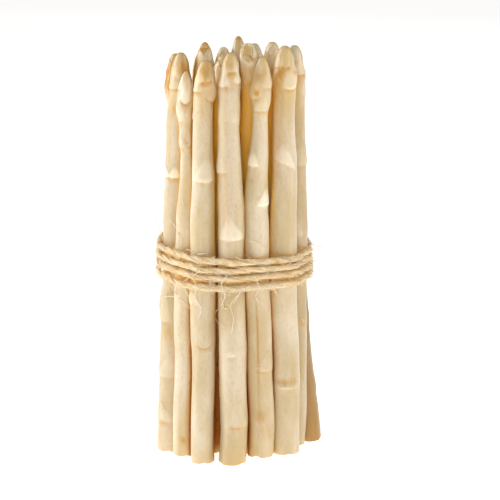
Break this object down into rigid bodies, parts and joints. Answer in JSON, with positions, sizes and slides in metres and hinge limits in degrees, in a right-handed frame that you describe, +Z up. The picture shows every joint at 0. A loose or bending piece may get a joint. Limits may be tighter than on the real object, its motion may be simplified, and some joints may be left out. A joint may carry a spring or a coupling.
{
  "type": "bundle of asparagus",
  "caption": "Bundle of white asparagus spears of uneven heights, standing on their cut ends and tied round the waist with natural twine knotted at the back.",
  "frame": {"origin": "on the table, under the middle of the bundle's box", "axes": "+Z up along the spears, from the cut ends to the heads; -Y towards the front of the bundle, +Y towards the knot; +X to the right seen from the front"},
  "size_m": [0.086, 0.0896, 0.215],
  "materials": {
    "asparagus": "fresh, smooth and slightly waxy ivory skin, semi-translucent, golden in the gaps",
    "jute": "natural undyed jute twine of twisted plies, matte and hairy"
  },
  "bodies": {
    "root": {"spear_01": "asparagus", "spear_02": "asparagus", "spear_03": "asparagus", "spear_04": "asparagus", "spear_05": "asparagus", "spear_06": "asparagus", "spear_07": "asparagus", "spear_08": "asparagus", "spear_09": "asparagus", "spear_10": "asparagus", "spear_11": "asparagus", "spear_12": "asparagus", "spear_13": "asparagus", "spear_14": "asparagus", "spear_15": "asparagus", "spear_16": "asparagus", "spear_17": "asparagus", "spear_18": "asparagus", "spear_19": "asparagus", "spear_20": "asparagus", "spear_21": "asparagus", "spear_22": "asparagus", "spear_23": "asparagus", "spear_24": "asparagus", "spear_25": "asparagus", "twine": "jute"}
  },
  "joints": []
}
